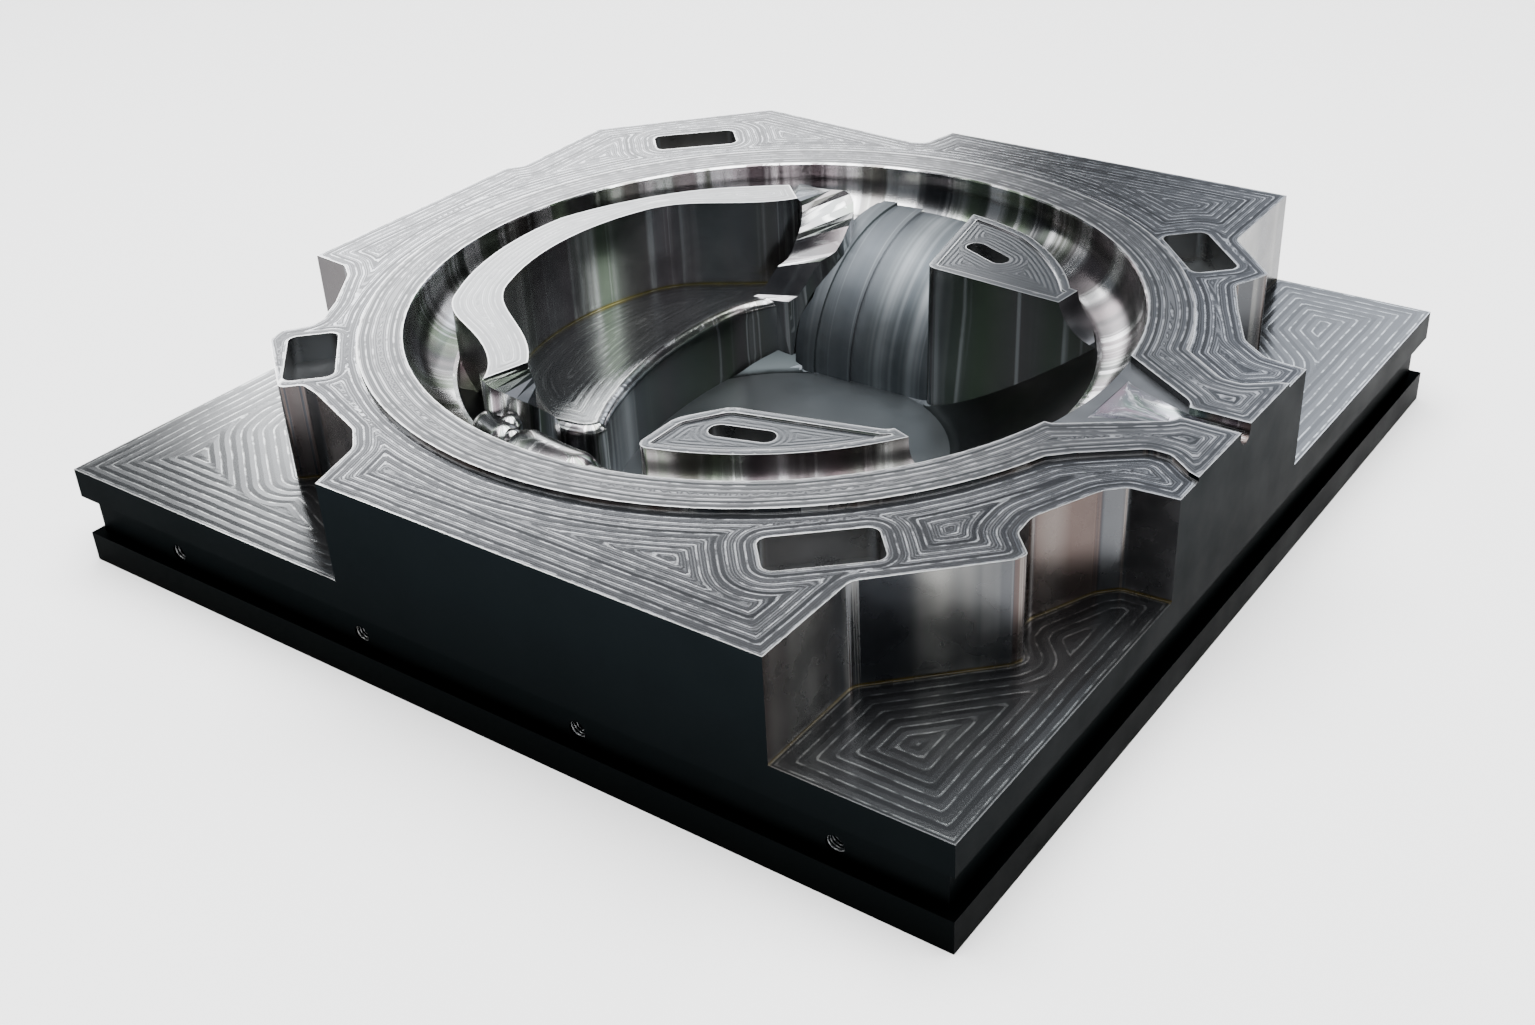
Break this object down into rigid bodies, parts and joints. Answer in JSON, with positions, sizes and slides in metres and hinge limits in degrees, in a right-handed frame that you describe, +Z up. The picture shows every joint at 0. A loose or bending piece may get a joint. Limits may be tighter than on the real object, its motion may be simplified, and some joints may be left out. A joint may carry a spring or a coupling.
{
  "type": "mould cavity insert",
  "caption": "Square milled steel mould insert: stepped plateau with heel pockets, round sculpted cavity inside a raised sealing land, fan gate with runner, clamping groove round the sides.",
  "frame": {"origin": "middle of the flat bottom face", "axes": "+Z up out of the cavity, +X towards the side where the runner leaves, -Y towards the side with the row of small holes"},
  "size_m": [0.5, 0.5, 0.104],
  "materials": {
    "milled_tool_steel": "fine milled faces with visible tool paths, cavity polished bright"
  },
  "bodies": {
    "root": {"cavity_insert": "milled_tool_steel"}
  },
  "joints": []
}
